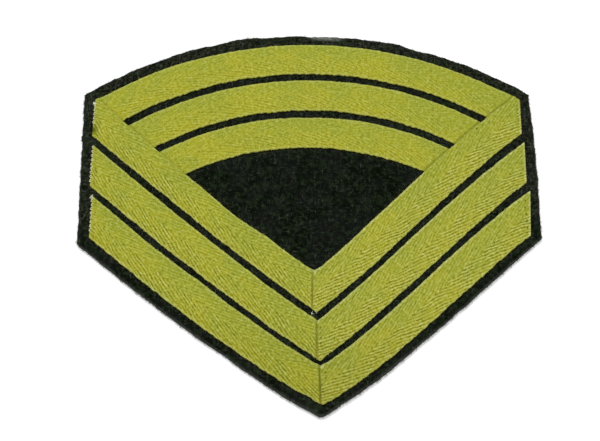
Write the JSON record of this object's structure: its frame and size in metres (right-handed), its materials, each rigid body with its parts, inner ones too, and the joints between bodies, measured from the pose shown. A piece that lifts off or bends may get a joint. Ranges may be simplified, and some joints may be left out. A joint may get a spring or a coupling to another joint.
{
  "type": "rank chevron patch",
  "caption": "Sleeve rank patch of dark wool cloth with an arched top and a pointed foot, bearing curved and V-shaped bars of olive herringbone tape; its flat back is sewn to a sleeve.",
  "frame": {"origin": "middle of the patch's width and height, on its flat back face", "axes": "+X to the right as the patch is seen from the front, +Y from the point to the crown of the arcs, +Z out of the front"},
  "size_m": [0.1772, 0.1514, 0.0042],
  "materials": {
    "cloth": "fulled wool, near black with a green and navy fleck, matt with a short nap",
    "tape": "cotton herringbone twill tape, olive yellow, matt"
  },
  "bodies": {
    "root": {"backing": "cloth", "arc_outer": "tape", "arc_middle": "tape", "arc_inner": "tape", "chevron_upper": "tape", "chevron_middle": "tape", "chevron_lower": "tape"}
  },
  "joints": []
}
